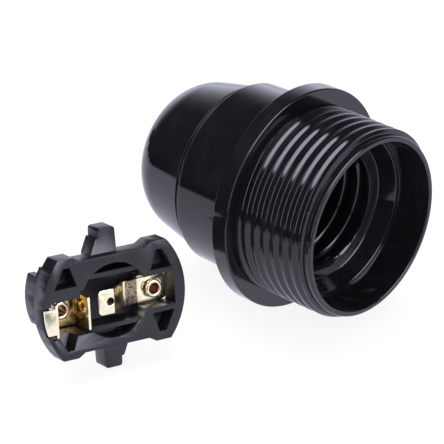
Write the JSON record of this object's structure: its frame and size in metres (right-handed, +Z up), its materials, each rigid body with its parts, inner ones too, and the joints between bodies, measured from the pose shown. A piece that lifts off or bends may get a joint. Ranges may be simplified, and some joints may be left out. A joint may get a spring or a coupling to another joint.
{
  "type": "screw lamp holder",
  "caption": "Domed lamp holder with a screw-on end cap and outside-threaded skirt, opened, with its contact insert standing beside it.",
  "frame": {"origin": "centre of the threaded cable entry, on the flat end of the end cap", "axes": "+Y along the holder's axis from the lamp's mouth to the cable entry, +Z up, the mouth faces -Y, and the contact insert stands on the -X side"},
  "size_m": [0.0841, 0.054, 0.0466],
  "materials": {
    "housing": "polished black phenolic moulding",
    "insert": "satin black phenolic moulding",
    "contact": "bright pale brass sheet",
    "terminal": "brass sheet",
    "rivet": "rolled brass tube",
    "screw": "zinc-plated steel"
  },
  "bodies": {
    "cap": {"end_cap": "housing", "contact_carrier": "insert", "centre_rivet": "rivet", "side_rivet": "rivet", "centre_terminal": "terminal", "side_terminal": "terminal"},
    "shell": {"threaded_shell": "housing"},
    "centre_contact": {"centre_contact": "contact"},
    "side_contact": {"side_contact": "contact"},
    "centre_screw": {"centre_terminal_screw": "screw"},
    "side_screw": {"side_terminal_screw": "screw"}
  },
  "joints": [
    {"name": "shell_turn", "type": "hinge", "parent": "cap", "child": "shell", "pos_m": [0, -0.0187, 0], "axis": [0, -1, 0], "range_deg": [0, 540]},
    {"name": "centre_contact_press", "type": "hinge", "parent": "cap", "child": "centre_contact", "pos_m": [-0.03467, -0.02633, -0.0099], "axis": [-0.123, -0.181, -0.9758], "range_deg": [0, 3], "stiffness_Nm_per_rad": 0.9},
    {"name": "side_contact_press", "type": "hinge", "parent": "cap", "child": "side_contact", "pos_m": [-0.05262, -0.01829, -0.01062], "axis": [-0.123, -0.181, -0.9758], "range_deg": [0, 3], "stiffness_Nm_per_rad": 0.9},
    {"name": "centre_screw_turn", "type": "hinge", "parent": "cap", "child": "centre_screw", "pos_m": [-0.03957, -0.01867, -0.01071], "axis": [0.263, 0.9421, -0.2079], "range_deg": [-720, 0]},
    {"name": "side_screw_turn", "type": "hinge", "parent": "cap", "child": "side_screw", "pos_m": [-0.04664, -0.0169, -0.01163], "axis": [0.263, 0.9421, -0.2079], "range_deg": [-720, 0]}
  ]
}
